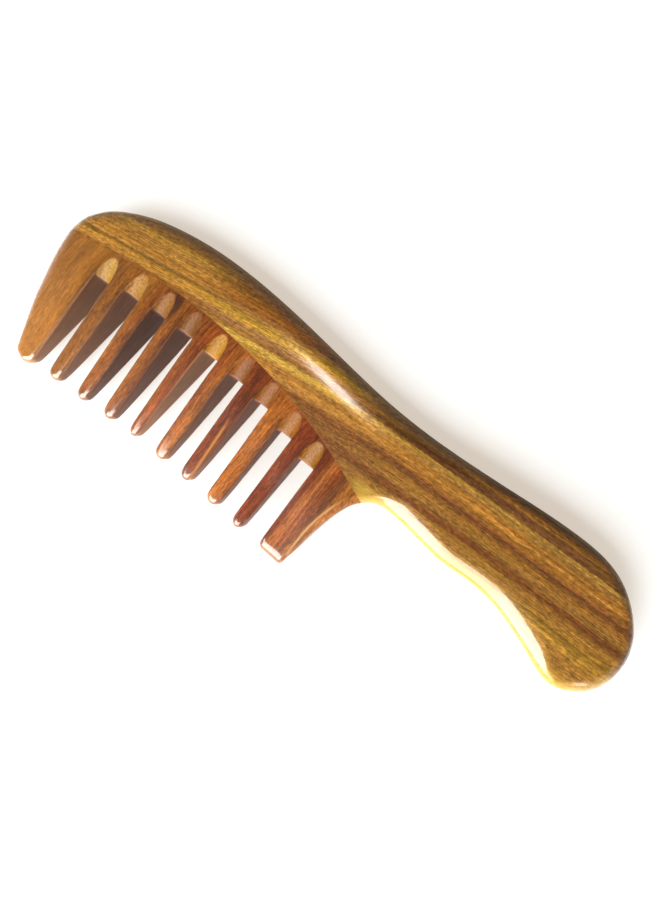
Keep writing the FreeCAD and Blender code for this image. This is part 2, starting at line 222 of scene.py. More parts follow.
def crest_dip(x, y):
    """Over the neck the faces fall a little from the crest of the spine towards the teeth."""
    depth, half_width = 1.23, 2.6
    crest_y = 6.85 - 0.1 * (x + 17.0)
    along = fade(-35, -7, x) * (1 - fade(-3, 22, x))
    return depth * along * fade(crest_y + half_width, crest_y - half_width, y)


def half_thickness(x, y):
    """Flat over the handle, falling from the joint arc to the tips."""
    past_lead = JOINT_RADIUS + TAPER_LEAD - joint_distance(x, y)
    bend_radius = TAPER_RUN / math.sin(math.atan(TAPER_SLOPE))
    in_bend = np.clip(past_lead, 0, TAPER_RUN)
    drop = bend_radius - np.sqrt(bend_radius**2 - in_bend**2)
    half = MID - drop - TAPER_SLOPE * np.maximum(past_lead - TAPER_RUN, 0)
    return np.maximum(half - crest_dip(x, y) * (1 - fade(14, 34, past_lead)), 0.4)


def envelope(x, y, z, outline, half):
    """The whole comb with no gaps: outline, faces and rounded outer edges.

    The rounding is an ellipse, reach wide in plan and depth deep in z: broad over the spine,
    broad and low along the underside of the grip.
    """
    # weights of the regions, 0 to 1
    spine = (
        fade(-94, -62, x) * (1 - fade(6, 40, x)) * fade(-2, 6, y)
        * (0.85 - 0.5 * fade(-40, -14, x) * (1 - fade(0, 30, x)))
    )
    grip_under = fade(19, 25.5, x) * (1 - fade(84, 92, x)) * fade(-3, -9, y)
    grip_over = fade(22, 46, x) * fade(-12, -2, y)
    nook = fade(-7, -11, y) * fade(8, 13, x) * (1 - fade(19, 25.5, x))  # between grip and teeth
    sharp = np.where(x > 0, nook, 0.45 * fade(-9, -22, y) * fade(-12, -36, y))
    grip_reach = np.interp(x, *zip(*GRIP_REACH))

    reach = 4.9 + 3.6 * spine + (grip_reach - 4.9) * grip_under - 1.2 * grip_over
    depth = 4.7 - 1.4 * grip_under - 1.2 * grip_over
    depth = np.minimum(depth + (1.7 - depth) * sharp, half * 0.86)
    reach = reach + (2.1 - reach) * nook
    # where the board is thin the rounding is nearly circular
    reach = reach + (np.minimum(reach, depth * 1.05) - reach) * fade(5.0, 4.0, half)
    return round_max(outline * (depth / reach), np.abs(z) - half, depth)


def walls(gap, y):
    """x of the left and right wall of a gap."""
    return [
        root + (tip - root) * (y - gap.ridge) / (WALL_END - gap.ridge)
        for root, tip in ((gap.root_left, gap.tip_left), (gap.root_right, gap.tip_right))
    ]


def across_gap(gap, x):
    """Place across the gap at its root, -1 at the left wall and 1 at the right."""
    half_width = 0.5 * (gap.root_right - gap.root_left)
    return (x - 0.5 * (gap.root_left + gap.root_right)) / half_width


def scoop_channel(gap, u, y):
    """Depth of the sloping channel above a gap: in section an arch with steep sides."""
    arch = np.sqrt(1 - np.minimum(np.abs(u), 1.0) ** 2.4)
    return SCOOP_DEPTH * (arch - (y - gap.ridge) / SCOOP_RISE)


def scoop(gap, x, y):
    """Depth of the scoop at the root of a gap below the face, deepest at the slot."""
    u = across_gap(gap, x)
    beside = -SCOOP_DEPTH * ((np.abs(u) - 1.0) * 3.0 + (y - gap.ridge) / SCOOP_RISE)
    depth = np.where(np.abs(u) < 1.0, scoop_channel(gap, u, y), beside)
    softened = 0.5 * (depth + np.sqrt(depth * depth + 0.006))
    return softened * fade(gap.ridge - 2.5, gap.ridge - 0.2, y)


def slot(gap, x, y):
    """Plan of a gap: below zero inside the slot, which ends square at the root."""
    left, right = walls(gap, y)
    return round_max(np.maximum(left - x, x - right), y - gap.ridge, ROOT_ROUND)


def nearest_gap(x):
    return np.searchsorted(0.5 * (GAP_MIDDLES[1:] + GAP_MIDDLES[:-1]), x)


def tooth_shape(k, x, y, z, outline, half):
    """Tooth k, 0 at the head and 9 next to the grip, with the board above it."""
    tooth = TEETH[k]
    past_tip = tooth.tip - y
    if tooth is LAST_TOOTH:
        # a slightly slanted tip, thinned near its end
        past_tip = past_tip - 0.03 * (x - 8.5)
        u = -38.8 - y
        half = half - 0.18 * (u + np.sqrt(u * u + 0.3))
    left = -slot(GAPS[k - 1], x, y) if k > 0 else outline
    right = -slot(GAPS[k], x, y) if k < len(GAPS) else outline
    plan = np.maximum(
        round_max(left, past_tip, tooth.corner_left),
        round_max(right, past_tip, tooth.corner_right),
    )
    # the edge between plan and face is narrow on the sides and broad round the tip
    near_tip = fade(tooth.tip + 4.0, tooth.tip + 0.5, y)
    down = np.clip((-9.0 - y) / (-9.0 - tooth.tip - 3.0), 0, 1)
    edge = 0.26 + tooth.side_edge * down + tooth.tip_edge * near_tip
    return round_max(plan, np.abs(z) - half, np.minimum(edge, half * 0.88))


def board_shape(x, y, z):
    """Tooth board, running a little past the joint arc."""
    half, outline = half_thickness(x, y), outline_distance(x, y)
    outer = envelope(x, y, z, outline, half)
    gap_index = nearest_gap(x)
    dip = np.zeros_like(x)
    for i, gap in enumerate(GAPS):
        m = gap_index == i
        if m.any():
            dip[m] = scoop(gap, x[m], y[m])
    teeth = np.full_like(x, -1e3)
    bounds = [-1e3, *GAP_MIDDLES, 1e3]
    for k in range(len(TEETH)):
        m = (x > bounds[k] - 0.01) & (x <= bounds[k + 1] + 0.01)
        if m.any():
            teeth[m] = tooth_shape(k, x[m], y[m], z[m], outline[m], half[m] - dip[m])
    return np.maximum(
        np.maximum(teeth, outer), joint_distance(x, y) - (JOINT_RADIUS + JOINT_SPARE)
    )


def handle_shape(x, y, z):
    """Handle and spine, running a little below the joint arc."""
    outer = envelope(x, y, z, outline_distance(x, y), half_thickness(x, y))
    return np.maximum(outer, (JOINT_RADIUS - JOINT_SPARE) - joint_distance(x, y))


def film_shape(x, y, z):
    """A strip of the comb on each side of the joint arc, cut down to the glue line later."""
    half = half_thickness(x, y) - FILM_INSET
    from_joint = joint_distance(x, y) - JOINT_RADIUS
    outer = envelope(x, y, z, outline_distance(x, y) + FILM_INSET, half)
    return np.maximum(outer, np.abs(from_joint) - FILM_SPARE)


# ================================================================ meshing
def sample(shape, low, high, cell, slab=24):
    """Field values on a grid, worked out a slab at a time to spare memory."""
    n = [int(math.ceil((b - a) / cell)) + 1 for a, b in zip(low, high)]
    xs, ys, zs = [low[i] + cell * np.arange(n[i]) for i in range(3)]
    field = np.empty(n, np.float32)
    for s in range(0, n[0], slab):
        field[s : s + slab] = shape(*np.meshgrid(xs[s : s + slab], ys, zs, indexing="ij"))
    return field


def surface_nets(field, origin, cell):
    """Quads on the zero surface of a sampled field, one vertex in each cell it crosses."""
    nx, ny, nz = field.shape
    some = np.zeros((nx - 1, ny - 1, nz - 1), bool)
    every = np.ones_like(some)
    for i, j, k in np.ndindex(2, 2, 2):
        inside = field[i : nx - 1 + i, j : ny - 1 + j, k : nz - 1 + k] < 0
        some |= inside
        every &= inside
    active = some & ~every
    cells = np.argwhere(active)
    ci, cj, ck = cells.T

    # each vertex is the mean of the crossings on the edges of its cell
    total, count = np.zeros((len(cells), 3)), np.zeros(len(cells))
    for axis in range(3):
        side1, side2 = [a for a in range(3) if a != axis]
        for p, q in np.ndindex(2, 2):
            o = [0, 0, 0]
            o[side1], o[side2] = p, q
            a = field[ci + o[0], cj + o[1], ck + o[2]].astype(float)
            o[axis] += 1
            b = field[ci + o[0], cj + o[1], ck + o[2]].astype(float)
            m = (a < 0) != (b < 0)
            total[m, axis] += a[m] / (a[m] - b[m])
            total[m, side1] += p
            total[m, side2] += q
            count += m
    vertices = (cells + total / count[:, None]) * cell + np.array(origin)

    # each crossed grid edge gives a quad between the four cells round it
    vertex_of = np.full(active.shape, -1, np.int64)
    vertex_of[ci, cj, ck] = np.arange(len(cells))
    quads = []
    for axis in range(3):
        first, second = [slice(None)] * 3, [slice(None)] * 3
        first[axis], second[axis] = slice(0, -1), slice(1, None)
        in_first, in_second = field[tuple(first)] < 0, field[tuple(second)] < 0
        edges = np.argwhere(in_first != in_second)
        for side in ((axis + 1) % 3, (axis + 2) % 3):
            edges = edges[(edges[:, side] > 0) & (edges[:, side] < field.shape[side] - 1)]
        corners = []
        for back1, back2 in ((1, 1), (0, 1), (0, 0), (1, 0)):
            corner = edges.copy()
            corner[:, (axis + 1) % 3] -= back1
            corner[:, (axis + 2) % 3] -= back2
            corners.append(vertex_of[tuple(corner.T)])
        quad = np.stack(corners, 1)
        flipped = ~in_first[tuple(edges.T)]
        quad[flipped] = quad[flipped][:, ::-1]
        quads.append(quad)
    return vertices, np.concatenate(quads)


def settle(shape, vertices, cell, rounds):
    """Moves vertices onto the exact surface, at most half a cell each round."""
    e = 0.02
    for _ in range(rounds):
        x, y, z = vertices.T
        gradient = np.stack([
            shape(x + e, y, z) - shape(x - e, y, z),
            shape(x, y + e, z) - shape(x, y - e, z),
            shape(x, y, z + e) - shape(x, y, z - e),
        ], 1) / (2 * e)
        steepness2 = np.maximum((gradient**2).sum(1), 0.04)
        move = -(shape(x, y, z) / steepness2)[:, None] * gradient
        length = np.linalg.norm(move, axis=1)
        vertices = vertices + move * np.minimum(1, 0.5 * cell / np.maximum(length, 1e-9))[:, None]
    return vertices


def relax(vertices, quads, amount):
    """Moves each vertex by amount towards the mean of its neighbours."""
    n = len(vertices)
    total, count = np.zeros_like(vertices), np.zeros(n)
    for a in range(4):
        for b in (1, 3):
            neighbour = vertices[quads[:, (a + b) % 4]]
            for c in range(3):
                total[:, c] += np.bincount(quads[:, a], neighbour[:, c], n)
            count += np.bincount(quads[:, a], minlength=n)
    return vertices + amount * (total / np.maximum(count, 1)[:, None] - vertices)


def link_object(name, data):
    ob = bpy.data.objects.new(name, data)
    bpy.context.scene.collection.objects.link(ob)
    return ob


def new_object(name, vertices, faces):
    mesh = bpy.data.meshes.new(name)
    mesh.from_pydata((vertices * MM).tolist(), [], faces)
    mesh.validate()
    mesh.update()
    return link_object(name, mesh)


def remesh(name, shape, low, high, cell):
    """Meshes a shape given about the middle plane, then lifts its back face to z 0."""
    vertices, quads = surface_nets(sample(shape, low, high, cell), low, cell)
    for _ in range(2):
        vertices = relax(settle(shape, vertices, cell, rounds=2), quads, amount=0.5)
    vertices = settle(shape, vertices, cell, rounds=3)
    vertices[:, 2] += MID
    return new_object(name, vertices, quads.tolist())


def arc_block(r0, r1, x0, x1, half_z, n=420):
    """Ring sector about the joint centre, from x0 to x1 on the arc, half_z to each side of the
    middle plane."""
    start, end = [math.acos((x - JOINT_X) / JOINT_RADIUS) for x in (x1, x0)]
    angles = np.linspace(start, end, n)
    ring = np.stack([np.cos(angles), np.sin(angles)], 1)
    rows = []
    for r, z in ((r0, -half_z), (r1, -half_z), (r1, half_z), (r0, half_z)):
        xs, ys = JOINT_X + r * ring[:, 0], JOINT_Y + r * ring[:, 1]
        rows.append(np.column_stack([xs, ys, np.full(n, MID + z)]))
    faces = []
    for c in range(4):
        d = (c + 1) % 4
        for i in range(n - 1):
            faces.append((c * n + i, c * n + i + 1, d * n + i + 1, d * n + i))
    faces.append((0, n, 2 * n, 3 * n))
    faces.append((n - 1, 4 * n - 1, 3 * n - 1, 2 * n - 1))
    ob = new_object("t", np.concatenate(rows), faces)
    bm = bmesh.new()
    bm.from_mesh(ob.data)
    bmesh.ops.recalc_face_normals(bm, faces=bm.faces)
    bm.to_mesh(ob.data)
    bm.free()
    return ob


def through_block(r0, r1, x0=-104, x1=42):
    """Block that stands past both faces."""
    return arc_block(r0, r1, x0, x1, half_z=9.0)


def groove_block(r0):
    """Block from r0 to the bottom of the groove: the tongue with the glue round it."""
    return arc_block(
        r0, JOINT_RADIUS + GLUE / 2 + TONGUE_DEPTH,
        TONGUE_X0 - GLUE, TONGUE_X1 + GLUE, TONGUE_THICK / 2 + GLUE,
    )


def tongue_block(r0):
    """Block from r0 to the top of the tongue."""
    r1 = JOINT_RADIUS - GLUE / 2 + TONGUE_DEPTH
    return arc_block(r0, r1, TONGUE_X0, TONGUE_X1, TONGUE_THICK / 2)


def cut(ob, tool, operation):
    """Boolean applied at once; the tool is then removed."""
    modifier = ob.modifiers.new("cut", "BOOLEAN")
    modifier.operation, modifier.object, modifier.solver = operation, tool, "EXACT"
    depsgraph = bpy.context.evaluated_depsgraph_get()
    mesh = bpy.data.meshes.new_from_object(ob.evaluated_get(depsgraph))
    ob.modifiers.clear()
    old = ob.data
    ob.data = mesh
    mesh.name = ob.name
    bpy.data.meshes.remove(old)
    tool_mesh = tool.data
    bpy.data.objects.remove(tool)
    bpy.data.meshes.remove(tool_mesh)
    if len(mesh.polygons) < 10:
        raise RuntimeError("a cut emptied " + ob.name)


def finish_mesh(ob, crisp_angle=math.radians(40.0)):
    """Smooth shading with crisp edges only where the joint was cut."""
    bm = bmesh.new()
    bm.from_mesh(ob.data)
    bmesh.ops.remove_doubles(bm, verts=bm.verts, dist=0.004 * MM)
    bmesh.ops.dissolve_degenerate(bm, edges=bm.edges, dist=0.002 * MM)
    for face in bm.faces:
        face.smooth = True
    for edge in bm.edges:
        if len(edge.link_faces) == 2:
            edge.smooth = edge.calc_face_angle(0) < crisp_angle
    bm.to_mesh(ob.data)
    bm.free()
    ob.data.update()


def plan_positions(mesh):
    """x and y of the vertices in mm."""
    co = np.empty(len(mesh.vertices) * 3)
    mesh.vertices.foreach_get("co", co)
    x, y, _ = co.reshape(-1, 3).T / MM
    return x, y


def store(mesh, name, values):
    attribute = mesh.attributes.new(name, "FLOAT", "POINT")
    attribute.data.foreach_set("value", values.astype(np.float32))


def mark_board(mesh):
    """Stores where the scoops and the sawn walls are, the walls being given painted shade, and a
    band of painted shade down the butt side of each tooth.
    """
    x, y = plan_positions(mesh)
    gap_index = nearest_gap(x)
    dip, sawn_shaded_wall, painted_edge_shade = np.zeros(len(x)), np.zeros(len(x)), np.zeros(len(x))
    for i, gap in enumerate(GAPS):
        m = gap_index == i
        gx, gy = x[m], y[m]
        u = across_gap(gap, gx)
        in_channel = fade(-0.06, 0.14, scoop_channel(gap, u, gy)) * (np.abs(u) < 1.02)
        dip[m] = in_channel * fade(gap.ridge - 0.1, gap.ridge + 0.15, gy)
        sawn_shaded_wall[m] = 1 - fade(0.08, 0.42, slot(gap, gx, gy))
        # painted shade: a band on the face along the butt-side edge of each tooth, below the root
        inside = walls(gap, gy)[0] - gx
        painted_edge_shade[m] = (
            (1 - fade(0.3, 2.0, inside)) * (1 - sawn_shaded_wall[m]) * (inside > 0)
            * (1 - fade(gap.ridge, gap.ridge + 6.0, gy))
        )
    store(mesh, "scoop", dip)
    store(mesh, "sawn_shaded_wall", sawn_shaded_wall)
    store(mesh, "painted_edge_shade", painted_edge_shade)


def mark_rim(mesh):
    """Stores how near the lower outline of the grip a point is."""
    x, y = plan_positions(mesh)
    near = fade(-4.4, -0.6, outline_distance(x, y))
    low_end = -12.0 + 2.0 * fade(76, 68, x)
    store(mesh, "rim", near * fade(13, 19, x) * fade(-8.0, low_end, y))


# ================================================================ the three pieces
HANDLE_CELL, BOARD_CELL = ((0.46, 0.38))
FILM_CELL = 0.55
BOX_Z = 5.95  # half height of the sampled boxes
GLUE_INNER, GLUE_OUTER = JOINT_RADIUS - GLUE / 2, JOINT_RADIUS + GLUE / 2


def make_handle():
    low, high = (-96.5, -21.6, -BOX_Z), (96.5, 18.4, BOX_Z)
    ob = remesh("handle_body", handle_shape, low, high, HANDLE_CELL)
    cut(ob, through_block(JOINT_RADIUS - 30, GLUE_OUTER), "DIFFERENCE")
    cut(ob, groove_block(JOINT_RADIUS - 8), "DIFFERENCE")
    return ob


def make_board():
    low, high = (-96.5, -45.4, -BOX_Z), (24.0, 3.4, BOX_Z)
    ob = remesh("tooth_board_body", board_shape, low, high, BOARD_CELL)
    cut(ob, through_block(JOINT_RADIUS - 60, GLUE_INNER, x0=-128, x1=60), "INTERSECT")
    cut(ob, tongue_block(JOINT_RADIUS - 1.5), "UNION")
    return ob


def make_glue():
    low, high = (-96.5, -19.0, -BOX_Z), (26.0, 2.6, BOX_Z)
    ob = remesh("glue_film", film_shape, low, high, FILM_CELL)
    cut(ob, through_block(GLUE_INNER, GLUE_OUTER), "INTERSECT")
    cut(ob, groove_block(GLUE_INNER), "UNION")
    cut(ob, tongue_block(JOINT_RADIUS - 3), "DIFFERENCE")
    return ob


handle = make_handle()
board = make_board()
glue = make_glue()
for piece in (handle, board, glue):
    finish_mesh(piece)
mark_board(board.data)
mark_rim(handle.data)

# ================================================================ colour bands of the wood
# Rows are a place in mm, then red, green, blue as display values from 0 to 255.
# On the handle the place is measured across the grain.
BUTT_BANDS = [
    (-14, 178, 124, 50), (-11, 196, 144, 52), (-9.4, 142, 104, 32), (-8.8, 172, 124, 40),
    (-7.4, 170, 120, 48), (-6.2, 172, 120, 46), (-5.2, 140, 92, 32), (-4.2, 130, 72, 30),
    (-3.4, 144, 94, 40), (-2.6, 158, 110, 46), (-1.6, 170, 118, 48), (-0.7, 168, 114, 42),
    (0.2, 142, 90, 34), (1, 118, 74, 36), (1.5, 138, 84, 40), (2, 160, 100, 42),
    (3, 162, 110, 38), (3.9, 204, 140, 60), (4.5, 176, 114, 38), (6.4, 174, 128, 58),
    (7.3, 194, 146, 58), (7.8, 122, 78, 36), (9.2, 108, 66, 36), (10.2, 168, 114, 48),
    (12, 122, 76, 30), (14, 102, 66, 32),
]
NECK_BANDS = [
    (-4, 138, 84, 40), (-2.4, 130, 78, 36), (-1, 140, 86, 40), (0.4, 164, 106, 44),
    (1.4, 150, 90, 38), (2.4, 170, 110, 46), (3.4, 194, 134, 62), (4.2, 208, 146, 56),
    (5, 188, 126, 46), (5.8, 188, 128, 56), (6.6, 202, 154, 66), (7.8, 242, 194, 80),
    (8.5, 176, 128, 58), (9.2, 172, 114, 52), (10.2, 180, 126, 70), (11.4, 186, 134, 68),
    (12.6, 222, 168, 58), (13.6, 184, 140, 48), (14.8, 172, 122, 56), (16, 152, 96, 42),
    (17.4, 182, 112, 40), (19, 162, 106, 42), (22, 154, 102, 48), (26, 126, 88, 44),
]
HEAD_BANDS = [
    (-4, 114, 68, 32), (0, 142, 90, 40), (4, 172, 118, 48), (6.4, 194, 136, 54),
    (8.2, 200, 142, 54), (8.7, 132, 86, 36), (9.4, 170, 112, 44), (10.8, 158, 98, 40),
    (12, 192, 136, 56), (13.4, 206, 146, 58), (14.2, 158, 108, 34), (14.7, 128, 90, 40),
    (15.2, 198, 144, 68), (15.8, 186, 126, 44), (17.2, 180, 126, 54), (18.4, 186, 132, 54),
    (19.6, 178, 124, 56), (21.4, 210, 158, 66), (22.6, 170, 118, 48), (24, 178, 122, 46),
    (25.2, 150, 100, 42), (28, 138, 94, 48),
]
# on the tooth board the place is x, or x leaning with the grain for the teeth
BOARD_SPAN = (-98, 24)
TOOTH_BANDS = [
    (-96, 168, 112, 50), (-90, 166, 108, 48), (-84, 174, 114, 48), (-79, 174, 110, 38),
    (-73, 146, 90, 36), (-69, 156, 94, 30), (-62.6, 170, 108, 38), (-60.4, 154, 86, 28),
    (-56, 130, 68, 26), (-53, 138, 76, 28), (-51.5, 160, 94, 32), (-49, 138, 72, 18),
    (-43, 148, 80, 26), (-40.5, 158, 76, 20), (-33, 144, 74, 26), (-30, 178, 102, 30),
    (-24, 132, 62, 22), (-21.6, 120, 52, 16), (-14, 182, 102, 30), (-11.6, 178, 102, 32),
    (-5, 138, 58, 20), (-1, 132, 56, 18), (4, 116, 50, 16), (7.2, 126, 54, 18),
    (9, 174, 98, 36), (10.2, 158, 78, 24), (12.4, 128, 66, 24), (14.2, 160, 96, 38),
    (17, 178, 108, 38), (21, 166, 98, 36),
]
SCOOP_COLOURS = [
    (-79, 184, 138, 70), (-75, 194, 150, 68), (-69, 178, 124, 60), (-64, 178, 130, 54),
    (-59, 160, 102, 46), (-54, 150, 100, 38), (-50, 138, 86, 30), (-44, 128, 76, 26),
    (-40, 182, 124, 34), (-34, 200, 144, 46), (-30, 160, 92, 32), (-24, 122, 76, 32),
    (-20, 158, 94, 30), (-14, 138, 86, 34), (-10, 164, 104, 38), (-4, 166, 104, 30),
    (0, 162, 106, 28), (8, 158, 104, 30),
]
# painted shade for the sawn walls of the gaps, grey-brown, by x
WALL_SHADE_COLOURS = [
    (-78, 160, 118, 96), (-73, 152, 112, 94), (-68, 154, 110, 88), (-62, 126, 92, 78),
    (-56, 108, 80, 70), (-51, 134, 98, 84), (-46, 156, 114, 96), (-42, 186, 138, 104),
    (-37, 214, 164, 120), (-33, 160, 114, 92), (-28, 148, 106, 90), (-20, 176, 116, 90),
    (-8, 162, 114, 94), (2, 188, 132, 110),
]


# ================================================================ node trees
def rgb(*display):
    """Display values from 0 to 255 to a linear colour."""
    shares = [v / 255.0 for v in display]
    return tuple(v / 12.92 if v <= 0.04045 else ((v + 0.055) / 1.055) ** 2.4 for v in shares)


class Value:
    """Output socket of a node; arithmetic on it adds Math nodes."""

    def __init__(self, graph, socket):
        self.graph, self.socket = graph, socket

    def __add__(self, other):
        return self.graph.math("ADD", self, other)

    def __radd__(self, other):
        return self.graph.math("ADD", other, self)

    def __sub__(self, other):
        return self.graph.math("SUBTRACT", self, other)

    def __rsub__(self, other):
        return self.graph.math("SUBTRACT", other, self)

    def __mul__(self, other):
        return self.graph.math("MULTIPLY", self, other)

    def __truediv__(self, other):
        return self.graph.math("DIVIDE", self, other)

    def __pow__(self, other):
        return self.graph.math("POWER", self, other)

    def __abs__(self):
        return self.graph.math("ABSOLUTE", self)

    def scaled(self, factor):
        """This colour or vector times a factor."""
        inputs = {0: self, "Scale": factor}
        return self.graph.add("ShaderNodeVectorMath", inputs, operation="SCALE")

    def fade(self, start, end, low=0.0, high=1.0):
        """Smooth low to high as this goes from start to end; start may be the larger."""
        if start > end:
            start, end, low, high = end, start, high, low
        inputs = {"Value": self, "From Min": start, "From Max": end, "To Min": low, "To Max": high}
        return self.graph.add(
            "ShaderNodeMapRange", inputs, result="Result", interpolation_type="SMOOTHSTEP"
        )


class Graph:
    """Short hand for building a node tree."""

    def __init__(self, tree, output_kind):
        self.tree = tree
        tree.nodes.clear()
        self.surface_input = tree.nodes.new(output_kind).inputs["Surface"]

    def put(self, value, socket):
        if isinstance(value, Value):
            self.tree.links.new(value.socket, socket)
        elif isinstance(value, tuple):
            socket.default_value = (*value, 1.0)
        else:
            socket.default_value = value

    def add(self, kind, inputs=None, result=0, **settings):
        """New node with the given inputs and settings; returns its result socket."""
        node = self.tree.nodes.new(kind)
        for name, setting in settings.items():
            setattr(node, name, setting)
        for key, value in (inputs or {}).items():
            self.put(value, node.inputs[key])
        return Value(self, node.outputs[result])

    def math(self, operation, *values):
        return self.add("ShaderNodeMath", dict(enumerate(values)), operation=operation)

    def split(self, vector):
        node = self.add("ShaderNodeSeparateXYZ", {0: vector}).socket.node
        return [Value(self, socket) for socket in node.outputs]

    def position(self):
        """x, y and z in mm, with z about the middle plane."""
        x, y, z = self.split(self.add("ShaderNodeTexCoord", result="Object").scaled(1000.0))
        return x, y, z - MID

    def steepness(self, axis):
        """Size of one component of the surface normal."""
        return abs(self.split(self.add("ShaderNodeNewGeometry", result="Normal"))[axis])

    def attribute(self, name):
        return self.add("ShaderNodeAttribute", result="Fac", attribute_name=name)

    def noise(self, place, per_mm, detail, rough):
        """Noise over place, with its frequency along each coordinate."""
        scaled = [coordinate * rate for coordinate, rate in zip(place, per_mm)]
        vector = self.add("ShaderNodeCombineXYZ", dict(enumerate(scaled)))
        inputs = {"Vector": vector, "Scale": 1.0, "Detail": detail, "Roughness": rough}
        return self.add("ShaderNodeTexNoise", inputs, noise_dimensions="3D")

    def noises(self, place, rows):
        """One noise for each row of frequencies, detail and roughness."""
        return [self.noise(place, *row) for row in rows]

    def ellipse_radius(self, x, y):
        return self.math("SQRT", x * x + y * y)

    def ramp(self, place, bands, low, high):
        """Colour ramp through the bands, from low to high in mm."""
        made = self.add("ShaderNodeValToRGB", {0: (place - low) / (high - low)})
        color_ramp = made.socket.node.color_ramp
        color_ramp.interpolation = "LINEAR"
        elements = color_ramp.elements
        while len(elements) > 1:
            elements.remove(elements[0])
        for i, (at, *display) in enumerate(bands):
            share = (at - low) / (high - low)
            element = elements[0] if i == 0 else elements.new(share)
            element.position = share
            element.color = (*rgb(*display), 1.0)
        return made

    def mix(self, factor, a, b):
        """Colour a, turning into b as factor goes from 0 to 1."""
        return self.add(
            "ShaderNodeMix", {0: factor, 6: a, 7: b}, result=2,
            data_type="RGBA", blend_type="MIX", clamp_factor=True,
        )

    def finish(self, shader):
        self.put(shader, self.surface_input)


def vary(noise, amount):
    """Factor about 1 that follows a noise."""
    return 1.0 + (noise - 0.5) * amount


def relief(fine, lines, pores):
    """Height of the wood: raised grain and sunken pores."""
    return fine * 0.5 + lines * 0.6 + pores * -0.9


# ================================================================ materials
FACE_LIGHT = 2.15  # light that falls on the faces, against which the base colours are set


def new_material(name):
    material = bpy.data.materials.new(name)
    material.use_nodes = True
    return material, Graph(material.node_tree, "ShaderNodeOutputMaterial")


def add_surface(
    graph, colour, rough, height, coat, coat_rough=0.11, bump_strength=0.3, bump_depth=0.00005
):
    """Coated surface that ends a material; the bump depth is in metres."""
    graph.finish(graph.add("ShaderNodeBsdfPrincipled", {
        "Base Color": colour.scaled(1.0 / FACE_LIGHT),
        "Roughness": rough,
        "IOR": 1.5,
        "Specular IOR Level": 0.2,
        "Coat IOR": 1.65,
        "Coat Weight": coat,
        "Coat Roughness": coat_rough,
        "Normal": graph.add("ShaderNodeBump", {
            "Strength": bump_strength, "Distance": bump_depth, "Height": height,
        }),
    }))


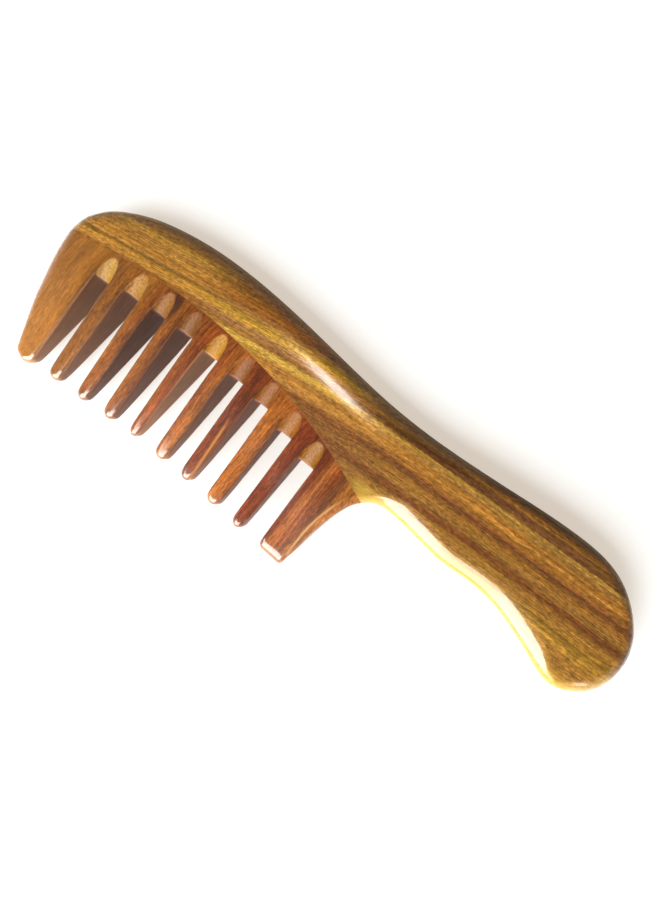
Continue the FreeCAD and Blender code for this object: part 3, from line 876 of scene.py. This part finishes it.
def handle_wood():
    material, graph = new_material("handle_wood")
    x, y, z = graph.position()
    # across-grain place: the grain climbs towards the butt, steeply at the head and hardly
    # at the grip
    root = graph.math("SQRT", (x - 12.0) ** 2.0 + 900.0)
    lift = x * 0.075 - root * 0.06
    waves = graph.noises((x, y, z), (
        ((0.03, 0.08, 0.08), 2.0, 0.5),
        ((0.11, 0.45, 0.45), 2.0, 0.5),
        ((0.9, 1.6, 1.6), 2.0, 0.5),
    ))
    across = y - lift + 0.845
    for wave, swing in zip(waves, (1.0, 0.5, 0.35)):
        across = across + (wave - 0.5) * swing
    across = across + z * 0.16
    grain = (x, across, z)
    butt_colour = graph.ramp(across, BUTT_BANDS, low=-15, high=15)
    neck_colour = graph.ramp(across, NECK_BANDS, low=-5, high=27)
    head_colour = graph.ramp(across, HEAD_BANDS, low=-5, high=29)
    colour = graph.mix(x.fade(-58.0, -36.0), head_colour, neck_colour)
    colour = graph.mix(x.fade(-14.0, 28.0), colour, butt_colour)

    # streaks and lines along the grain, then mottling across it
    broad, middle, lines, mottle, fine = graph.noises(grain, (
        ((0.012, 0.55, 0.25), 3.0, 0.55),
        ((0.025, 1.5, 0.9), 3.0, 0.6),
        ((0.05, 3.6, 2.4), 2.0, 0.6),
        ((0.65, 1.5, 1.5), 3.0, 0.7),
        ((0.8, 7.0, 5.0), 2.0, 0.6),
    ))
    shade = vary(broad, 0.5)
    for noise, amount in ((middle, 0.9), (lines, 1.9), (mottle, 2.4), (fine, 2.2)):
        shade = shade * vary(noise, amount)
    colour = colour.scaled(shade)

    # golden and red-brown drift
    tint = graph.noise(grain, per_mm=(0.03, 0.9, 0.4), detail=3.0, rough=0.6)
    colour = graph.mix(tint.fade(0.5, 0.72) * 0.25, colour, rgb(205, 155, 50))
    colour = graph.mix(tint.fade(0.5, 0.28) * 0.22, colour, rgb(135, 72, 30))

    # a few hair-thin dark lines that run far along the grain, broken up by a gate
    hair = abs(graph.noise(grain, per_mm=(0.015, 2.1, 1.0), detail=0.0, rough=0.5) - 0.5)
    gate = graph.noise(grain, per_mm=(0.06, 0.8, 0.8), detail=1.0, rough=0.5)
    hairs = hair.fade(0.022, 0.006) * gate.fade(0.5, 0.6)
    colour = graph.mix(hairs * 0.45, colour, rgb(78, 46, 20))

    # open pores: short dark dashes
    pores = graph.noise(grain, per_mm=(0.8, 3.6, 3.6), detail=1.0, rough=0.5).fade(0.66, 0.74)
    colour = graph.mix(pores * 0.5, colour, rgb(66, 40, 18))

    # end grain on the butt and the head
    end = graph.steepness(axis=0).fade(0.6, 0.97)
    dots = graph.noise((x, y, z), per_mm=(1.2, 3.2, 3.2), detail=2.0, rough=0.6)
    colour = graph.mix(end * (dots.fade(0.4, 0.75) * 0.4), colour, rgb(84, 54, 26))

    # painted light: a pale gold glow along the lower edge of the grip, where its rounding is lit,
    # with a wedge of it where the grip meets the teeth
    wedge_x = (x - 19.5) * 0.17
    wedge_y = (y + (11.6 + (x - 19.5) * 0.05)) * 0.42
    wedge = graph.ellipse_radius(wedge_x, wedge_y).fade(1.15, 0.25)
    rim_glow = graph.math("MAXIMUM", graph.attribute("rim") * 0.85, wedge * 0.6)
    rim_glow = rim_glow * (0.4 + abs(z).fade(0.4, 3.0) * 0.6)
    rim_glow_colour = graph.mix(lines, rgb(205, 150, 45), rgb(255, 215, 100))
    colour = graph.mix(rim_glow, colour, rim_glow_colour.scaled(0.8 + mottle * 0.5))

    # the neck is less glossy; a thumb has dulled the hollow of the grip, and the heel is dull
    neck = x.fade(-34.0, -22.0) * x.fade(22.0, 10.0)
    hollow = x.fade(39.0, 48.0) * x.fade(64.0, 57.0)
    heel = x.fade(79.0, 82.0) * x.fade(88.5, 86.5) * y.fade(-15.0, -17.0)
    dull = hollow + heel * 2.2
    add_surface(
        graph, colour,
        rough=0.36 + middle * 0.1,
        height=relief(fine, lines, pores),
        coat=0.74 - dull * 0.26 + neck * 0.12,
        coat_rough=0.075 + mottle * 0.06 + neck * 0.12,
    )
    return material


def tooth_wood():
    material, graph = new_material("tooth_wood")
    x, y, z = graph.position()
    # across-grain place: the grain runs down the teeth with a slight lean
    slow_wave, quick_wave = graph.noises((x, y, z), (
        ((0.08, 0.05, 0.08), 2.0, 0.5),
        ((0.9, 0.4, 0.9), 2.0, 0.5),
    ))
    lean = (y + 20.0) * 0.06
    across = x - lean + (slow_wave - 0.5) * 1.6 + (quick_wave - 0.5) * 0.4 + z * 0.12
    grain = (across, y, z)
    colour = graph.ramp(across, TOOTH_BANDS, *BOARD_SPAN)
    broad, middle, lines, mottle, fine = graph.noises(grain, (
        ((0.5, 0.03, 0.3), 3.0, 0.55),
        ((1.5, 0.05, 1.0), 3.0, 0.62),
        ((3.6, 0.12, 2.4), 2.0, 0.6),
        ((1.7, 0.6, 1.7), 3.0, 0.7),
        ((7.0, 0.8, 5.0), 2.0, 0.6),
    ))
    bold = 1.0 + x.fade(-76.0, -68.0) * 0.9  # bolder grain away from the head
    shade = vary(broad, 0.5)
    for noise, amount in ((middle, 0.6), (lines, 1.2), (mottle, 1.0), (fine, 1.0)):
        shade = shade * (1.0 + bold * ((noise - 0.5) * amount))
    # the tooth at the head is paler low down
    shade = shade * (1.0 + y.fade(-14.0, -36.0) * x.fade(-72.0, -80.0) * 0.28)
    # the others get a band of painted shade down the butt-side edge of each tooth, and are paler
    # towards the tips
    painted_edge_shade = graph.attribute("painted_edge_shade") * (1.0 - y.fade(-19.0, -31.0) * 0.6)
    shade = shade * (1.0 - painted_edge_shade * 0.5)
    shade = shade * (0.97 + y.fade(-17.0, -30.0) * x.fade(-76.0, -70.0) * 0.26)
    colour = colour.scaled(shade)

    # orange and dark red drift, then pores
    tint = graph.noise(grain, per_mm=(1.1, 0.045, 0.5), detail=2.0, rough=0.5)
    colour = graph.mix(tint.fade(0.54, 0.74) * 0.22, colour, rgb(195, 118, 50))
    colour = graph.mix(tint.fade(0.46, 0.26) * 0.28, colour, rgb(92, 42, 30))
    pores = graph.noise(grain, per_mm=(3.6, 0.8, 3.6), detail=1.0, rough=0.5).fade(0.65, 0.73)
    colour = graph.mix(pores * 0.3, colour, rgb(56, 26, 14))

    # end grain in the scoops and on the tips: paler, with pores as dots
    tip_end = graph.steepness(axis=1).fade(0.45, 0.7) * 0.8
    end = graph.math("MAXIMUM", graph.attribute("scoop"), tip_end)
    end_colour = graph.ramp(x, SCOOP_COLOURS, *BOARD_SPAN)
    dots = graph.noise((x, y, z), per_mm=(2.2, 1.3, 2.2), detail=3.0, rough=0.7)
    end_colour = end_colour.scaled(-0.1 + dots * 2.2).scaled(vary(lines, 0.9))
    colour = graph.mix(end * 0.92, colour, end_colour)

    # a dark patch at the root of one tooth, and a painted highlight down the edge of another: a pale
    # line
    patch = graph.ellipse_radius((x + 53.7) * 0.42, (y + 3.6) * 0.2).fade(1.15, 0.45)
    colour = graph.mix(patch * (1.0 - end) * 0.72, colour, rgb(66, 38, 30))
    line = abs(x + (21.2 + (y + 28.0) * 0.05)).fade(0.55, 0.15) * y.fade(-17.0, -24.0)
    colour = graph.mix(line * 0.75, colour, rgb(222, 148, 74))

    # pale lines down the broad tooth next to the grip: x, lean, half width, strength
    for line_x, slant, width, strength in (
        (8.7, -0.02, 0.34, 0.36), (10.0, -0.03, 0.26, 0.3), (7.0, 0.0, 0.22, 0.2),
    ):
        offset = abs(x - (line_x + (y + (25.0 + quick_wave * 3.0)) * slant))
        line = offset.fade(width, width * 0.3) * (1.0 - end) * ((middle + 0.5) * strength)
        colour = graph.mix(line, colour, rgb(214, 146, 82))

    # on its +x side a dark streak that bends to -x as it goes down
    below = graph.math("MAXIMUM", -21.0 - y, 0.0)
    offset = abs(x - (13.1 - below * below * 0.02))
    reach = y.fade(-33.0, -25.0) * x.fade(10.5, 11.5)
    streak = offset.fade(1.0, 0.3) * (1.0 - end) * reach
    colour = graph.mix(streak * 0.6, colour, rgb(92, 46, 26))
    # then a painted highlight: a pale line where the wood turns to the concave edge
    above = graph.math("MAXIMUM", y + 32.0, 0.0)
    offset = abs(x - (13.05 + above * above * 0.0125))
    reach = y.fade(-16.0, -21.0) * y.fade(-38.0, -36.5)
    streak = offset.fade(0.42, 0.14) * (1.0 - end) * reach
    colour = graph.mix(streak * 0.75, colour, rgb(226, 172, 116))

    # sawn walls of the gaps: dull, with painted shade that makes them a darker grey-brown
    sawn_shaded_wall = graph.attribute("sawn_shaded_wall")
    wall_shade_colour = graph.mix(0.75, colour, graph.ramp(x, WALL_SHADE_COLOURS, *BOARD_SPAN))
    wall_shade_colour = wall_shade_colour.scaled(0.62 + (middle * 0.5 + lines * 0.26))
    colour = graph.mix(sawn_shaded_wall * 0.9, colour, wall_shade_colour)

    # the flats of the teeth are duller than their edges and tips
    in_scoop = graph.attribute("scoop")
    coat = graph.math("MAXIMUM", 0.85 - sawn_shaded_wall * 0.7 - in_scoop * 0.85, 0.0)
    worn = x.fade(-74.0, -66.0) * 0.35 + x.fade(-26.0, -10.0) * 0.36
    worn = worn * (y.fade(-6.0, -14.0) * y.fade(-38.0, -35.5))
    coat = coat * (1.0 - worn)
    coat = coat * (1.0 - painted_edge_shade * (y.fade(-37.5, -35.0) * 0.8))
    add_surface(
        graph, colour,
        rough=0.36 + middle * 0.1 + sawn_shaded_wall * 0.15,
        height=relief(fine, lines, pores),
        coat=coat,
        coat_rough=0.07 + mottle * 0.06 + in_scoop * 0.16,
    )
    return material


def glue_material():
    material, graph = new_material("glue")
    noise = graph.noise(graph.position(), per_mm=(0.8, 0.8, 0.8), detail=3.0, rough=0.6)
    colour = graph.mix(noise, rgb(150, 98, 46), rgb(178, 122, 60))
    add_surface(
        graph, colour, rough=0.4, height=noise, coat=0.1, bump_strength=0.1, bump_depth=0.00003
    )
    return material


def floor_material():
    """White paper that the camera sees a little flatter than it lights the comb."""
    material, graph = new_material("floor")
    x, y, z = graph.position()
    noise = graph.noise((x, y, z), per_mm=(0.02, 0.02, 0.02), detail=2.0, rough=0.5)
    paper = graph.mix(noise, (0.78, 0.78, 0.785), (0.80, 0.80, 0.80))
    # browner towards and beyond the spine, which warms the light thrown back there
    lighting = graph.add("ShaderNodeBsdfPrincipled", {
        "Base Color": graph.mix(y.fade(10.0, 20.0), paper, (0.40, 0.30, 0.20)),
        "Roughness": 0.9,
        "Specular IOR Level": 0.1,
    })
    seen = graph.add("ShaderNodeBsdfPrincipled", {
        "Base Color": (0.30, 0.35, 0.40),
        "Roughness": 0.9,
        "Specular IOR Level": 0.0,
        "Emission Color": (1.0, 0.875, 0.735),
        "Emission Strength": 0.64,
    })
    to_camera = graph.add("ShaderNodeLightPath", result="Is Camera Ray")
    graph.finish(graph.add("ShaderNodeMixShader", {0: to_camera, 1: lighting, 2: seen}))
    return material


for piece, node, slot_name, material in (
    (handle, "handle", "handle_wood", handle_wood()),
    (board, "tooth_board", "tooth_wood", tooth_wood()),
    (glue, "glue_line", "glue", glue_material()),
):
    piece.data.materials.clear()
    piece.data.materials.append(material)
    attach(piece, "root")
    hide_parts(node)


# ================================================================ floor, light and camera, in metres
def make_floor(half_size=3, drop=0.0002):
    s = half_size
    mesh = bpy.data.meshes.new("floor")
    mesh.from_pydata([(-s, -s, 0), (s, -s, 0), (s, s, 0), (-s, s, 0)], [], [(0, 1, 2, 3)])
    floor = link_object("floor", mesh)
    floor.location.z = -drop
    mesh.materials.append(floor_material())
    return floor


def make_world():
    """Sky that is bright near the horizon, dim overhead and dimmer towards +y."""
    world = bpy.data.worlds.new("studio")
    bpy.context.scene.world = world
    world.use_nodes = True
    graph = Graph(world.node_tree, "ShaderNodeOutputWorld")
    _, y, z = graph.split(graph.add("ShaderNodeTexCoord", result="Generated"))
    by_height = z.fade(0.35, 0.72, low=0.9, high=0.07)
    by_side = y.fade(-0.3, 0.6, low=1.0, high=0.35)
    strength = by_height * by_side
    lighting = graph.add("ShaderNodeBackground", {0: (1.0, 0.99, 0.98), 1: strength})
    seen = graph.add("ShaderNodeBackground", {0: (0.95, 0.95, 0.95), 1: 1.0})
    to_camera = graph.add("ShaderNodeLightPath", result="Is Camera Ray")
    graph.finish(graph.add("ShaderNodeMixShader", {0: to_camera, 1: lighting, 2: seen}))


def make_panel(name, azimuth, elevation, distance, wide, tall, radiance, colour):
    """Soft panel seen from the origin in the given direction, in degrees."""
    az, el = math.radians(azimuth), math.radians(elevation)
    direction = Vector((math.cos(az) * math.cos(el), math.sin(az) * math.cos(el), math.sin(el)))
    place = direction * distance
    light = bpy.data.lights.new(name, "AREA")
    light.shape, light.size, light.size_y = "RECTANGLE", wide, tall
    light.energy, light.color = radiance * math.pi * wide * tall, colour
    ob = link_object(name, light)
    ob.location = place
    ob.rotation_euler = (-place).to_track_quat("-Z", "Y").to_euler()


def make_camera():
    data = bpy.data.cameras.new("camera")
    camera = link_object("camera", data)
    data.sensor_fit = "AUTO"
    data.sensor_width = 36.0
    data.lens = 21.2
    data.clip_start, data.clip_end = 0.005, 20.0
    right = Vector((0.779811, 0.618154, -0.098896))
    up = Vector((-0.612573, 0.786046, 0.082983))
    right.normalize()
    back = right.cross(up).normalized()
    up = back.cross(right)
    placing = Matrix((right, up, back)).transposed().to_4x4()
    placing.translation = (0.023166, -0.009, 0.148337)
    camera.matrix_world = placing
    bpy.context.scene.camera = camera


make_floor()
make_world()
make_panel("window", azimuth=-96, elevation=35.5, distance=0.8, wide=0.84, tall=0.78,
           radiance=13.0, colour=(1.0, 0.985, 0.955))
make_panel("side", azimuth=-26, elevation=25, distance=0.8, wide=0.09, tall=0.3,
           radiance=6.0, colour=(1.0, 0.98, 0.94))
make_camera()

view = bpy.context.scene.view_settings
view.view_transform = "Standard"
view.look = "None"
view.exposure = 0.0
view.gamma = 1.0

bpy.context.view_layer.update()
